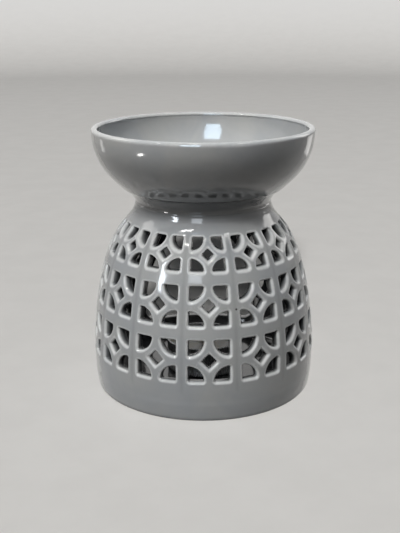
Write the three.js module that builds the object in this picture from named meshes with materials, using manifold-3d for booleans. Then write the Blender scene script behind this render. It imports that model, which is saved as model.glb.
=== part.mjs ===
// Ceramic wax melt burner: a pierced dome with a melt dish on its neck and a tealight inside.
// Millimetres, +Z up. The origin is the centre of the foot, and the rear doorway faces +Y.

import * as THREE from 'three';
import { mergeVertices } from 'three/addons/utils/BufferGeometryUtils.js';
import Module from 'manifold-3d';

const wasm = await Module();
wasm.setup();

// Overall sizes
const OVERALL_HEIGHT = 130;
const ROUND_SEGMENTS = 48;
const GAP = 0.3;

// Burner body: the outside of the wall as (radius, height), foot first. Its points between the foot and
// the neck stand at the doorway's sill and at the edges and centres of the tile rows, so that the facets
// follow them.
const BODY_WALL = 4.5;
const BODY_WIDEST = 55.9;
const NECK_RADIUS = 33.5;
const BODY_OUTSIDE = [
  [54.6, 1.2], [55.5, 9], [55.8, 13.5], [BODY_WIDEST, 20.2], [55.4, 30], [54.4, 39.8], [53.4, 46.4],
  [51.7, 55.3], [49.35, 64.2], [47.2, 70.4], [43.9, 77.4], [38.9, 84.3], [34.1, 91.2], [NECK_RADIUS, 93.4],
];
const FOOT_BEVEL = 1.2;
const FOOT_RECESS_RADIUS = 46;
const FOOT_RECESS_DEPTH = 1.2;
const FLOOR_TOP = 5.2;
const FLOOR_BEVEL = 1;
const THROAT_RADIUS = 26.5;
const THROAT_BEVEL = 1;

// Pierced tiles: three rows of squares, each with four quarter discs round a small diamond. The rear
// doorway takes the place of the tiles that would close the ring.
const TILE_ROWS = [{ low: 20.2, high: 39.8 }, { low: 46.4, high: 64.2 }, { low: 70.4, high: 84.3 }];
const TILE_COLUMNS = 11;
const REAR_SEGMENTS = 8;
const TILE_PITCH = THREE.MathUtils.degToRad(26.6);
const TILE_WIDTH = THREE.MathUtils.degToRad(20.4);
const QUARTER_SHARE = 0.376;
const QUARTER_STEPS = 3;
const DIAMOND_SHARE = 0.19;

// Rear doorway: upright sides from the sill, rounded at the foot, under half an ellipse
const DOOR_HALF_WIDTH = 30;
const DOOR_SILL = 13.5;
const DOOR_SPRING = 21.5;
const DOOR_TOP = 70;
const DOOR_CORNER = 7;
const DOOR_STEPS = 10;

// Cutters reach from the axis or the throat to past the outside of the wall
const CUTTER_REACH = BODY_WIDEST + BODY_WALL;

// Joining slip in the neck, from the top of the dome to the foot of the dish
const SLIP_LOW = BODY_OUTSIDE.at(-1)[1];
const SLIP_HIGH = 94.6;
const SLIP_WAIST = 33;

// Melt dish: outside and inside as (radius, height)
const DISH_OUTSIDE = [
  [NECK_RADIUS, SLIP_HIGH], [37.5, 100], [43.9, 105.1], [48.1, 110], [52.8, 120], [53.9, 128.4],
];
const DISH_INSIDE = [
  [50.7, 128.4], [49.4, 120], [45.2, 111], [40.2, 105.5], [33, 101.2], [22, 99.2], [0, 99],
];
const DISH_STEPS = 10;
const LIP_STEPS = 6;

// Tealight, standing on the floor of the chamber
const TEALIGHT_HEIGHT = 16;
const TEALIGHT_SEGMENTS = 32;
const CUP_RADIUS = 18.8;
const CUP_WALL = 0.5;
const CUP_FOOT_RADIUS = 18.2;
const CUP_BEVEL = 1.5;
const CUP_BEAD = 0.35;
const CUP_BEAD_HEIGHT = 1;
const FILL_LOW = 0.6;
const WAX_HEIGHT = 13;
const WAX_DIP = 0.4;
const SUSTAINER_RADIUS = 7;
const SUSTAINER_THICKNESS = 0.4;
const COLLAR_RADIUS = 1.6;
const COLLAR_BORE = 1.1;
const COLLAR_HEIGHT = 3;
const WICK_RADIUS = 0.9;
const WICK_TOP = 21;
const WICK_TIP_RADIUS = 0.5;
const WICK_TIP_HEIGHT = 0.5;
const WICK_SEGMENTS = 12;

// Outlines

function points(pairs) {
  return pairs.map(([radius, height]) => new THREE.Vector2(radius, height));
}

function smooth(pairs, steps) {
  return new THREE.SplineCurve(points(pairs)).getPoints(steps);
}

// The same curve moved sideways, to its left as it runs from foot to neck
function movedInward(curve, distance) {
  return curve.map((point, i) => {
    const before = curve[Math.max(i - 1, 0)];
    const after = curve[Math.min(i + 1, curve.length - 1)];
    const along = after.clone().sub(before).normalize();
    return new THREE.Vector2(point.x - along.y * distance, point.y + along.x * distance);
  });
}

function arc(centre, radius, from, to, steps) {
  return Array.from({ length: steps + 1 }, (_, i) => {
    const angle = from + (to - from) * i / steps;
    return new THREE.Vector2(centre.x + radius * Math.cos(angle), centre.y + radius * Math.sin(angle));
  });
}

// Solids

function lathe(outline, segments = ROUND_SEGMENTS) {
  const geometry = new THREE.LatheGeometry(outline, segments);
  geometry.rotateX(Math.PI / 2);
  return geometry;
}

// A closed solid from a geometry, its shared vertices merged and its empty triangles left out
function solid(geometry) {
  const bare = geometry.clone();
  bare.deleteAttribute('normal');
  bare.deleteAttribute('uv');
  const merged = mergeVertices(bare, 1e-4);
  const corners = merged.index.array;
  const kept = [];
  for (let i = 0; i < corners.length; i += 3) {
    const [a, b, c] = corners.slice(i, i + 3);
    if (a !== b && b !== c && c !== a) kept.push(a, b, c);
  }
  return new wasm.Manifold(new wasm.Mesh({
    numProp: 3,
    vertProperties: new Float32Array(merged.attributes.position.array),
    triVerts: new Uint32Array(kept),
  }));
}

function geometryOf(manifold) {
  const { vertProperties, triVerts } = manifold.getMesh();
  const geometry = new THREE.BufferGeometry();
  geometry.setAttribute('position', new THREE.BufferAttribute(vertProperties, 3));
  geometry.setIndex(new THREE.BufferAttribute(triVerts, 1));
  return geometry;
}

function mesh(name, geometry, finish) {
  const made = new THREE.Mesh(geometry, new THREE.MeshStandardMaterial(finish));
  made.name = name;
  return made;
}

// Burner body

// Inside the neck the outline follows the throat
function bodyOutline() {
  const outside = points(BODY_OUTSIDE);
  const inside = movedInward(outside, BODY_WALL).slice(0, -1)
    .filter((point) => point.y > FLOOR_TOP + FLOOR_BEVEL);
  return [
    ...points([[0, FOOT_RECESS_DEPTH], [FOOT_RECESS_RADIUS, FOOT_RECESS_DEPTH]]),
    ...points([[FOOT_RECESS_RADIUS + FOOT_RECESS_DEPTH, 0], [outside[0].x - FOOT_BEVEL, 0]]),
    ...outside,
    ...points([[THROAT_RADIUS, SLIP_LOW], [THROAT_RADIUS, inside.at(-1).y + THROAT_BEVEL]]),
    ...inside.toReversed(),
    ...points([[inside[0].x - FLOOR_BEVEL, FLOOR_TOP], [0, FLOOR_TOP]]),
  ];
}

function tileMiddle(column) {
  return (column - (TILE_COLUMNS - 1) / 2) * TILE_PITCH;
}

// The angles of the wall's facets, from the edges and centres of the tiles and evenly round the rear
function facetAngles() {
  const angles = [];
  for (let column = 0; column < TILE_COLUMNS; column++) {
    angles.push(...[-0.5, 0, 0.5].map((share) => tileMiddle(column) + share * TILE_WIDTH));
  }
  const last = angles.at(-1);
  const rear = 2 * Math.PI + angles[0] - last;
  for (let i = 1; i < REAR_SEGMENTS; i++) angles.push(last + rear * i / REAR_SEGMENTS);
  return angles;
}

// A turned solid whose facets stand at the given angles instead of evenly round
function latheAt(outline, angles) {
  const geometry = new THREE.LatheGeometry(outline, angles.length);
  const place = geometry.attributes.position;
  for (let i = 0; i < place.count; i++) {
    const angle = angles[Math.floor(i / outline.length) % angles.length];
    const { x: radius, y: height } = outline[i % outline.length];
    place.setXYZ(i, radius * Math.sin(angle), -radius * Math.cos(angle), height);
  }
  return geometry;
}

// A flat outline in (angle, height), cut through the wall along the radius
function radialCutter(outline) {
  const geometry = new THREE.ExtrudeGeometry(new THREE.Shape(outline), {
    depth: CUTTER_REACH - THROAT_RADIUS, steps: 1, bevelEnabled: false,
  });
  const place = geometry.attributes.position;
  for (let i = 0; i < place.count; i++) {
    const angle = place.getX(i);
    const radius = THROAT_RADIUS + place.getZ(i);
    place.setXYZ(i, radius * Math.sin(angle), -radius * Math.cos(angle), place.getY(i));
  }
  return solid(geometry);
}

// One quarter disc, its square corner at a corner of the tile
function quarterDisc(middle, centre, { width, height }, side, up) {
  const corner = new THREE.Vector2(middle + side * width / 2, centre + up * height / 2);
  const rim = Array.from({ length: QUARTER_STEPS + 1 }, (_, i) => {
    const angle = (i / QUARTER_STEPS) * Math.PI / 2;
    return new THREE.Vector2(
      corner.x - side * QUARTER_SHARE * width * Math.cos(angle),
      corner.y - up * QUARTER_SHARE * height * Math.sin(angle),
    );
  });
  return [corner, ...rim];
}

function diamond(middle, centre, { width, height }) {
  const across = DIAMOND_SHARE * width;
  const high = DIAMOND_SHARE * height;
  return points([
    [middle + across, centre], [middle, centre + high], [middle - across, centre], [middle, centre - high],
  ]);
}

function tileCutters(column, { low, high }) {
  const middle = tileMiddle(column);
  const centre = (low + high) / 2;
  const size = { width: TILE_WIDTH, height: high - low };
  const outlines = [diamond(middle, centre, size)];
  for (const side of [-1, 1]) {
    for (const up of [-1, 1]) outlines.push(quarterDisc(middle, centre, size, side, up));
  }
  return outlines.map(radialCutter);
}

function doorwayCutter() {
  const side = DOOR_HALF_WIDTH - DOOR_CORNER;
  const low = DOOR_SILL + DOOR_CORNER;
  const outline = new THREE.Shape();
  outline.moveTo(-side, DOOR_SILL);
  outline.lineTo(side, DOOR_SILL);
  outline.absarc(side, low, DOOR_CORNER, -Math.PI / 2, 0, false);
  outline.absellipse(0, DOOR_SPRING, DOOR_HALF_WIDTH, DOOR_TOP - DOOR_SPRING, 0, Math.PI, false, 0);
  outline.absarc(-side, low, DOOR_CORNER, Math.PI, 1.5 * Math.PI, false);
  const geometry = new THREE.ExtrudeGeometry(outline, {
    depth: CUTTER_REACH, bevelEnabled: false, curveSegments: DOOR_STEPS,
  });
  geometry.rotateX(Math.PI / 2);
  geometry.translate(0, CUTTER_REACH, 0);
  return solid(geometry);
}

function burnerBody() {
  const cutters = [doorwayCutter()];
  for (const row of TILE_ROWS) {
    for (let column = 0; column < TILE_COLUMNS; column++) cutters.push(...tileCutters(column, row));
  }
  const shell = solid(latheAt(bodyOutline(), facetAngles()));
  return geometryOf(shell.subtract(wasm.Manifold.union(cutters)));
}

// Joining slip: a flat ring whose outer edge is slightly hollow

function joiningSlip() {
  const edge = NECK_RADIUS - GAP;
  const middle = (SLIP_LOW + SLIP_HIGH) / 2;
  return lathe(points([
    [THROAT_RADIUS, SLIP_LOW], [edge, SLIP_LOW], [SLIP_WAIST, middle],
    [edge, SLIP_HIGH], [THROAT_RADIUS, SLIP_HIGH], [THROAT_RADIUS, SLIP_LOW],
  ]));
}

// Melt dish: its lip is a half round between the outside and the inside

function meltDish() {
  const outside = smooth(DISH_OUTSIDE, DISH_STEPS);
  const inside = smooth(DISH_INSIDE, DISH_STEPS);
  const edge = outside.at(-1).x;
  const lipRadius = (edge - inside[0].x) / 2;
  const lipCentre = new THREE.Vector2(edge - lipRadius, OVERALL_HEIGHT - lipRadius);
  const lip = arc(lipCentre, lipRadius, 0, Math.PI, LIP_STEPS);
  return lathe([...points([[0, SLIP_HIGH]]), ...outside.slice(0, -1), ...lip, ...inside.slice(1)]);
}

// Tealight

function tealightCup() {
  const inner = CUP_RADIUS - CUP_WALL;
  return lathe(points([
    [0, 0], [CUP_FOOT_RADIUS, 0], [CUP_RADIUS, CUP_BEVEL],
    [CUP_RADIUS, TEALIGHT_HEIGHT - CUP_BEAD_HEIGHT],
    [CUP_RADIUS + CUP_BEAD, TEALIGHT_HEIGHT - CUP_BEAD_HEIGHT / 2], [CUP_RADIUS, TEALIGHT_HEIGHT],
    [inner, TEALIGHT_HEIGHT], [inner, CUP_BEVEL + GAP],
    [CUP_FOOT_RADIUS - CUP_WALL, CUP_WALL], [0, CUP_WALL],
  ]), TEALIGHT_SEGMENTS);
}

function wickSustainer() {
  const discTop = FILL_LOW + SUSTAINER_THICKNESS;
  const collarTop = discTop + COLLAR_HEIGHT;
  return lathe(points([
    [COLLAR_BORE, FILL_LOW], [SUSTAINER_RADIUS, FILL_LOW], [SUSTAINER_RADIUS, discTop],
    [COLLAR_RADIUS, discTop], [COLLAR_RADIUS, collarTop], [COLLAR_BORE, collarTop],
    [COLLAR_BORE, FILL_LOW],
  ]), TEALIGHT_SEGMENTS);
}

// The wax fills the cup round pockets for the sustainer's disc, its collar and the wick
function tealightWax() {
  const edge = CUP_RADIUS - CUP_WALL - GAP;
  const discPocket = FILL_LOW + SUSTAINER_THICKNESS + GAP;
  const collarPocket = discPocket + COLLAR_HEIGHT;
  const bore = WICK_RADIUS + GAP;
  return lathe(points([
    [SUSTAINER_RADIUS + GAP, FILL_LOW], [CUP_FOOT_RADIUS - CUP_WALL - GAP, FILL_LOW],
    [edge, CUP_BEVEL + 2 * GAP], [edge, WAX_HEIGHT], [bore, WAX_HEIGHT - WAX_DIP],
    [bore, collarPocket], [COLLAR_RADIUS + GAP, collarPocket], [COLLAR_RADIUS + GAP, discPocket],
    [SUSTAINER_RADIUS + GAP, discPocket], [SUSTAINER_RADIUS + GAP, FILL_LOW],
  ]), TEALIGHT_SEGMENTS);
}

function tealightWick() {
  return lathe(points([
    [0, FILL_LOW], [WICK_RADIUS, FILL_LOW], [WICK_RADIUS, WICK_TOP - WICK_TIP_HEIGHT],
    [WICK_TIP_RADIUS, WICK_TOP], [0, WICK_TOP],
  ]), WICK_SEGMENTS);
}

// Materials
const GLAZE = { color: 0x8a8d8c, roughness: 0.16, metalness: 0 };
const SLIP = { color: 0x9a9d9c, roughness: 0.2, metalness: 0 };
const ALUMINIUM = { color: 0xc9ccce, roughness: 0.3, metalness: 1 };
const WAX = { color: 0xf3efe4, roughness: 0.45, metalness: 0 };
const STEEL = { color: 0xa7a9aa, roughness: 0.35, metalness: 1 };
const COTTON = { color: 0xe9e4d6, roughness: 0.9, metalness: 0 };

const tealight = new THREE.Group();
tealight.position.z = FLOOR_TOP + GAP / 2;
tealight.add(
  mesh('tealight_cup', tealightCup(), ALUMINIUM),
  mesh('tealight_wax', tealightWax(), WAX),
  mesh('wick_sustainer', wickSustainer(), STEEL),
  mesh('tealight_wick', tealightWick(), COTTON),
);

const burner = new THREE.Group();
burner.add(
  mesh('burner_body', burnerBody(), GLAZE),
  mesh('joining_slip', joiningSlip(), SLIP),
  mesh('melt_dish', meltDish(), GLAZE),
  tealight,
);

export default burner;
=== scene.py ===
"""The looks of a glazed ceramic wax melt burner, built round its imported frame. Metres, +Z up."""

import math

import bpy
import numpy as np
from mathutils import Matrix, Vector


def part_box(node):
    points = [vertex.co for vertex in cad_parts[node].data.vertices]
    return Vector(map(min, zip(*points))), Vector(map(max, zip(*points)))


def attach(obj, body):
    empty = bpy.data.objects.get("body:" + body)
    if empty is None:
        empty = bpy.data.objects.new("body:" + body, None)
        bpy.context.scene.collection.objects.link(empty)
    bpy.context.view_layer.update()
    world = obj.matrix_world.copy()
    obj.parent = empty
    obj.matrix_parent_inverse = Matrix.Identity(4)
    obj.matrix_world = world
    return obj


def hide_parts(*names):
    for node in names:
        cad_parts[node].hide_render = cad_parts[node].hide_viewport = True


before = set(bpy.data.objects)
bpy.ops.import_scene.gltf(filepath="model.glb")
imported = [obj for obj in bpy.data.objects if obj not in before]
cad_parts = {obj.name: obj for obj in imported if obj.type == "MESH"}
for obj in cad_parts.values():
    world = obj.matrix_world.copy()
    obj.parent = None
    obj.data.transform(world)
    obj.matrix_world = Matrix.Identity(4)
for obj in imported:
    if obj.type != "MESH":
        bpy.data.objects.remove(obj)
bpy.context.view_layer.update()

# Lengths that stand for a millimetre, far from every edge, nearly nothing, on the axis and close enough
MM = 0.001
FAR = 0.009
TINY = 1e-9
ON_AXIS = 1e-7
LEAST_RADIUS = 1e-4
CLOSE = 1e-5
CUP_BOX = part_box("tealight_cup")
WAX_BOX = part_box("tealight_wax")
WICK_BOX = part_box("tealight_wick")
DISC_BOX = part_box("wick_sustainer")

# Camera: place, line of sight and upward direction, and its focal length in pixels of the frame's height
CAMERA_PLACE = Vector((-0.0203, -0.4183, 0.1887))
CAMERA_SIGHT = Vector((0.0425, 0.9541, -0.2964))
CAMERA_UP = Vector((0.0165, 0.2959, 0.9551))
FOCAL_LENGTH_PX = 867
FRAME_HEIGHT_PX = 533
SENSOR = 36

# Wall of the dome: the outside as Bezier curves of (radius, height), foot to neck and up the neck
WALL_CURVE = [(0.0546, 0.0012), (0.0597, 0.0294), (0.0494, 0.0881), (0.0394, 0.0785), (0.0340, 0.0912)]
NECK_CURVE = [(0.0340, 0.0912), (0.03355, 0.0922), (0.0335, 0.0934)]
NECK_STEPS = 200
WALL_THICKNESS = 0.0045
WALL_FROM = 0.0095
WALL_TO = 0.0905
CURVE_STEPS = 2400
LOCATE_STEPS = 6

# Foot, floor and throat of the dome
FOOT_CURVE = [(0.0532, 0.0), (0.0541, 0.0), (0.05445, 0.0003), (0.0546, 0.0012)]
FOOT_INNER_RADIUS = 0.0472
FOOT_FLAT_RADIUS = 0.0502
FOOT_WIPED = 0.0004
FOOT_FACES_DOWN = -0.8
RECESS_RADIUS = 0.0460
RECESS_DEPTH = 0.0012
FLOOR_TOP = 0.0052
FLOOR_FILLET = 0.0032
UNDER_SHARES = (0.7, 0.4, 0.1)
FLOOR_SHARES = (0.8, 0.5, 0.2, 0.05)
THROAT_RADIUS = 0.0265
THROAT_FLAT = 0.030
THROAT_TURN = [(THROAT_RADIUS, 0.0925), (THROAT_RADIUS, 0.0912)]

# Pierced tiles
TILE_ROWS = [(0.0202, 0.0398), (0.0464, 0.0642), (0.0704, 0.0843)]
TILE_SIDE_COLUMNS = 5
TILE_PITCH = math.radians(26.6)
TILE_WIDTH = math.radians(20.4)
QUARTER_SHARE = 0.376
DIAMOND_SHARE = 0.19
HOLE_CORNER = 0.0007
EDGE_ROUND_OUTSIDE = 0.0013
EDGE_ROUND_INSIDE = 0.0006

# Rear doorway
DOOR_HALF_WIDTH = 0.030
DOOR_SILL = 0.0135
DOOR_SPRING = 0.0215
DOOR_TOP = 0.070
DOOR_CORNER = 0.007

# Slow waves of the hand-dipped surface: (times round, turns per metre up, phase, depth)
WAVES = [(3, 9, 0.4, 3.2e-5), (5, 21, 2.1, 2.4e-5), (8, 33, 4.4, 1.5e-5), (2, 47, 1.2, 1.6e-5),
         (11, 14, 5.3, 1.2e-5)]

# Shallow mould lines on the straps between the tile columns, fading in above the foot and out at the neck
STRAP_GROOVE = 0.00005
STRAP_GROOVE_WIDTH = 0.0009
STRAP_FROM = 0.0125
STRAP_FADE_IN = 0.006
STRAP_TO = 0.0895
STRAP_FADE_OUT = 0.005
STRAP_PAST_TILES = 0.55

# Painted shade round the hollow of the neck under the dish and at the foot where it meets the floor; glaze
# pooled thinly along the mould lines
NECK_HOLLOW = (0.0333, 0.0952)
STRAP_POOL = 0.16
NECK_SHADE_REACH = 0.0056
FOOT_CONTACT_SHADE_REACH = 0.0011

# Mesh of the dome: grid, the depths under the outside that it has points at, and its number of triangles
AROUND = 660
ALONG_STEP = 0.00056
DEPTHS = [-0.0003, 0.0003, 0.0009, 0.0017, 0.0028, 0.0037, 0.0042, 0.0048]
SETTLE_ROUNDS = 12
BARELY_CLAY = -1e-6
NEWTON_STEPS = 5
NEWTON_LEAST_SLOPE = 0.2
SLOPE_STEP = 2e-5
END_MARGIN = 0.0015
DEPTH_MARGIN = 0.0002
BODY_FACES = 186000

# Neck and dish: outlines from bottom to top, the inside from the lip down to the axis
SLIP_CURVE = [(0.0335, 0.0934), (0.03345, 0.0940), (0.0335, 0.0946)]
DISH_FOOT_CURVE = [(0.0335, 0.0946), (0.0335, 0.0956), (0.0367, 0.1001), (0.0385, 0.1005)]
DISH_CURVE = [(0.0385, 0.1005), (0.0410, 0.1010), (0.0421, 0.1057), (0.0534, 0.1088), (0.0539, 0.1284)]
DISH_INSIDE = [(0.0507, 0.1284), (0.0503, 0.1120), (0.0420, 0.1005), (0.0240, 0.0990), (0.0, 0.0990)]
DISH_UNDERSIDE = (0, 0.012, 0.024, THROAT_FLAT)
DISH_WAVES_FROM = 0.0965
DISH_WAVES_FADE = 0.006
DISH_CALM_RADIUS = 0.005
DISH_CALM_FADE = 0.01
DISH_INSIDE_WAVES = 0.6
DISH_AROUND = 288

# Lip, and how far from an edge the glaze on it counts as, by its distance from the lip's crest: this sets
# how pale the lip is, partly thin glaze and partly painted highlight
LIP_RADIUS = 0.0016
LIP_EDGE_SHARE = 0.6
LIP_EDGE_LEAST = 0.00138

# Tealight. The cup's base and wall are points of (radius, height) and (set in, height), and a dent has its
# place round the wall, height, size and depth
BOX_GAP = 0.00012
CUP_BEAD = 0.00035
CUP_FOIL = 0.00025
CUP_BASE = [(0.0095, 0.0009), (0.0103, 0.0003), (0.0112, 0.0)]
CUP_BASE_FOIL = 0.0003
CUP_FLAT_TO = 0.0166
CUP_FOOT_SET_IN = 0.0016
CUP_FOOT_ROUND = 0.0015
CUP_FOOT_INSIDE = 0.0013
CUP_WALL = [(0.0001, 0.004), (0.0, 0.008), (0.0, 0.012)]
CUP_AROUND = 192
CUP_PRESS_LINES = 24
CUP_PRESS_DEPTH = 0.00005
CUP_PRESS_TALL = 0.015
CUP_PRESS_FADE = 1.6
CUP_DENT_RADIUS = 0.0188
CUP_DENTS = [(0.7, 0.006, 0.003, 0.00016), (2.9, 0.009, 0.004, 0.0002), (4.6, 0.005, 0.0035, 0.00014)]
WAX_WELL = (0.0074, 0.0012)
WAX_FOOT_SET_IN = 0.0016
WAX_TOP = [(0.0, 0.0), (0.0003, 0.00028), (0.001, 0.0005), (0.0024, 0.00062)]
WAX_MIDDLE = [(0.012, 0.0006), (0.008, 0.00066), (0.004, 0.00074), (0.0024, 0.00066), (0.0014, 0.0003)]
WAX_DIP = 0.00012
WAX_RIPPLE = 0.00003
DISC_AROUND = 64
DISC_PINCH = 0.12
WICK_AROUND = 48
WICK_LEVELS = 130
WICK_LAY = 0.0052
WICK_SLANT = 0.0004

# Colours, linear, and the glaze's noises: features per metre, for the skin with their depths
GLAZE_COOL = (0.243, 0.254, 0.266, 1)
GLAZE_WARM = (0.285, 0.289, 0.284, 1)
GLAZE_DEEP = (0.125, 0.133, 0.140, 1)
# Near black: painted shade for the neck's hollow and the foot's contact with the floor, and glaze pooled
# thinly along the mould lines
GLAZE_POOLED_AND_SHADE = (0.032, 0.034, 0.037, 1)
# Pale rim colour: where the glaze thins at edges, and painted highlight on the rounded rims
GLAZE_THIN_AND_HIGHLIGHT = (0.560, 0.565, 0.560, 1)
# Painted shade on the inside of the dome, darker the deeper into the wall
GLAZE_INSIDE_SHADE = (0.022, 0.023, 0.025, 1)
GLAZE_PINHOLE = (0.030, 0.028, 0.026, 1)
GLAZE_CLOUDS = 30
GLAZE_DRIFT = 13
GLAZE_GRAIN = 2600
GLAZE_SKIN = [(110, 0.00009), (330, 0.000024), (1400, 0.000003)]
PINHOLE_PLACE = (0.0125, -0.0504, 0.0538)
PINHOLE_CELLS = 150.0
PINHOLE_DEPTH = 0.00012
# Over these millimetres from an edge the pale rim fades: thin glaze partly, painted highlight partly
THIN_AND_HIGHLIGHT_FROM = 0.35
THIN_AND_HIGHLIGHT_TO = 1.75
FOIL_BRIGHT = (0.83, 0.84, 0.85, 1)
FOIL_DULL = (0.70, 0.71, 0.72, 1)
WAX_CREAM = (0.88, 0.85, 0.77, 1)
WAX_PALE = (0.93, 0.915, 0.87, 1)
WAX_YELLOW = (0.84, 0.80, 0.70, 1)
TIN_BRIGHT = (0.66, 0.67, 0.68, 1)
TIN_DULL = (0.54, 0.55, 0.56, 1)
COTTON_DARK = (0.70, 0.66, 0.57, 1)
COTTON_PALE = (0.90, 0.88, 0.81, 1)
CLAY_DARK = (0.55, 0.50, 0.43, 1)
CLAY_PALE = (0.66, 0.62, 0.55, 1)
CLAY_SPECK = (0.23, 0.17, 0.12, 1)
FLOOR_PALE = (0.760, 0.755, 0.745, 1)
FLOOR_PALE_TOO = (0.785, 0.780, 0.770, 1)
SWEEP_FROM = 1.8
SWEEP_RADIUS = 1.2
SWEEP_TOP = 3.2
SWEEP_GLOW = 0.5
SWEEP_GLOW_FROM = 0.0
SWEEP_GLOW_TO = 0.25
SWEEP_WALL = (0.20, 0.20, 0.20, 1)
SWEEP_AROUND = 128
SWEEP_STEPS = 24

# Lights: name, azimuth, elevation, distance, width, height, power, colour, the point it is aimed at, what
# it gives (light, its reflection or both) and what it lights, a name in LIT
WINDOW = (0.86, 0.93, 1.0)
WINDOW_BLUE = (0.66, 0.84, 1.0)
WARM = (1.0, 0.985, 0.96)
BODY_MIDDLE = (0, 0, 0.07)
DISH_MIDDLE = (0, 0, 0.12)
LIGHTS = [
    ("left_window", -50, 19, 1.2, 0.13, 0.42, 3.2, WINDOW, BODY_MIDDLE, "all", "shell"),
    ("front_window", -15, 25, 1.5, 0.48, 0.83, 11.0, WINDOW_BLUE, DISH_MIDDLE, "gloss", "dish"),
    ("front_window_low", -13, 25, 1.5, 0.42, 0.5, 2.4, WINDOW, BODY_MIDDLE, "gloss", "dome"),
    ("upper_right", 57, 62, 1.2, 0.20, 0.10, 0.7, WARM, BODY_MIDDLE, "gloss", "object"),
    ("ceiling_front", -21, 75, 1.3, 0.18, 0.03, 0.9, WARM, BODY_MIDDLE, "gloss", "object"),
    ("ceiling_left", -79, 63, 1.3, 0.03, 0.12, 0.9, WARM, BODY_MIDDLE, "gloss", "object"),
    ("rear_right", 122, 22, 1.5, 0.5, 0.7, 2.2, WARM, BODY_MIDDLE, "gloss", "object"),
    ("rear_left", -108, 38, 1.5, 0.5, 0.6, 1.6, WARM, BODY_MIDDLE, "gloss", "object"),
    ("kicker", -71, -23, 0.15, 0.018, 0.008, 0.009, WARM, (-0.0295, -0.0447, 0.1236), "gloss", "dish"),
    ("strip_right", 130, -14, 0.4, 0.10, 0.10, 0.028, WARM, DISH_MIDDLE, "gloss", "dish"),
    ("shoulder_left", -38, 58, 1.3, 0.30, 0.05, 1.3, WARM, BODY_MIDDLE, "gloss", "shell"),
    ("shoulder_right", 8, 74, 1.3, 0.34, 0.05, 0.9, WARM, BODY_MIDDLE, "gloss", "shell"),
    ("strip_left", -122, -15, 0.4, 0.05, 0.08, 0.012, WARM, DISH_MIDDLE, "gloss", "dish"),
    ("dome_key", -20, 51, 1.5, 0.5, 0.3, 19.0, WARM, BODY_MIDDLE, "fill", "shell"),
    ("dome_front", -48, 14, 1.5, 0.5, 0.3, 3.2, WARM, BODY_MIDDLE, "fill", "shell"),
    ("dish_key", -34, 68, 1.5, 0.55, 0.4, 36.0, WARM, DISH_MIDDLE, "fill", "dish"),
    ("dish_left", -55, 26, 1.5, 0.5, 0.3, 9.0, WARM, DISH_MIDDLE, "fill", "dish"),
    ("soft_top", 20, 82, 1.6, 1.6, 1.6, 9.0, WINDOW, BODY_MIDDLE, "fill", "clay"),
    ("soft_right", 75, 45, 1.8, 1.2, 1.0, 2.6, WINDOW, BODY_MIDDLE, "fill", "clay"),
    ("soft_back", 165, 30, 1.8, 1.6, 1.2, 15.0, WARM, BODY_MIDDLE, "fill", "clay"),
    ("soft_tealight", 165, 30, 1.8, 1.6, 1.2, 4.5, WARM, BODY_MIDDLE, "fill", "tealight"),
    ("floor_key", -4, 29, 12.0, 2.2, 1.3, 2050.0, WARM, (0, 0, 0), "fill", "floor"),
]
SKY = (0.93, 0.96, 1.0, 1)
SKY_STRENGTH = 0.03
UNDER_STRENGTH = 0.012
HORIZON_FADE = 0.25


# Curves and steps

def ramp(length, over):
    """From nothing to one as the length goes from nothing to this much."""
    return np.clip(length / over, 0, 1)


def bezier(control, steps):
    """Points on the Bezier curve with these control points."""
    share = np.linspace(0, 1, steps)[:, None, None]
    points = np.repeat(np.array(control, float)[None], steps, 0)
    while points.shape[1] > 1:
        points = points[:, :-1] * (1 - share) + points[:, 1:] * share
    return points[:, 0]


def arc(centre, radius, start, end, steps):
    """Points on an arc, its angles in degrees."""
    angle = np.radians(np.linspace(start, end, steps))
    return np.column_stack([centre[0] + radius * np.cos(angle), centre[1] + radius * np.sin(angle)])


class Wall:
    """The dome's wall: places in it as (along the curve, depth under the outside)."""

    def __init__(self):
        self.points = np.concatenate([bezier(WALL_CURVE, CURVE_STEPS), bezier(NECK_CURVE, NECK_STEPS)[1:]])
        step = np.linalg.norm(np.diff(self.points, axis=0), axis=1)
        self.along = np.concatenate([[0], np.cumsum(step)])
        tangent = np.gradient(self.points, self.along, axis=0)
        self.tangent = tangent / np.linalg.norm(tangent, axis=1, keepdims=True)

    def at_height(self, height):
        return np.interp(height, self.points[:, 1], self.along)

    def lookup(self, table, along):
        return np.stack([np.interp(along, self.along, table[:, i]) for i in (0, 1)], -1)

    def frame(self, along):
        """Unit vectors up the curve and into the wall, as (radius, height)."""
        up = self.lookup(self.tangent, along)
        up /= np.linalg.norm(up, axis=-1, keepdims=True)
        inward = np.stack([-up[..., 1], up[..., 0]], -1)
        return up, inward

    def place(self, along, depth):
        _, inward = self.frame(along)
        return self.lookup(self.points, along) + inward * np.asarray(depth)[..., None]

    def locate(self, radius, height):
        """The reverse of place()."""
        along = self.at_height(height)
        here = np.stack([radius, height], -1)
        for _ in range(LOCATE_STEPS):
            up, inward = self.frame(along)
            away = here - self.lookup(self.points, along)
            along = along + (away * up).sum(-1)
        return along, (away * inward).sum(-1)


WALL = Wall()


# Signed distances: below zero inside the cut

def rounded(a, b, radius):
    """What is inside both, with the edge between them rounded."""
    corner = np.hypot(np.maximum(a + radius, 0), np.maximum(b + radius, 0))
    return np.minimum(-radius, np.maximum(a, b)) + corner


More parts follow.
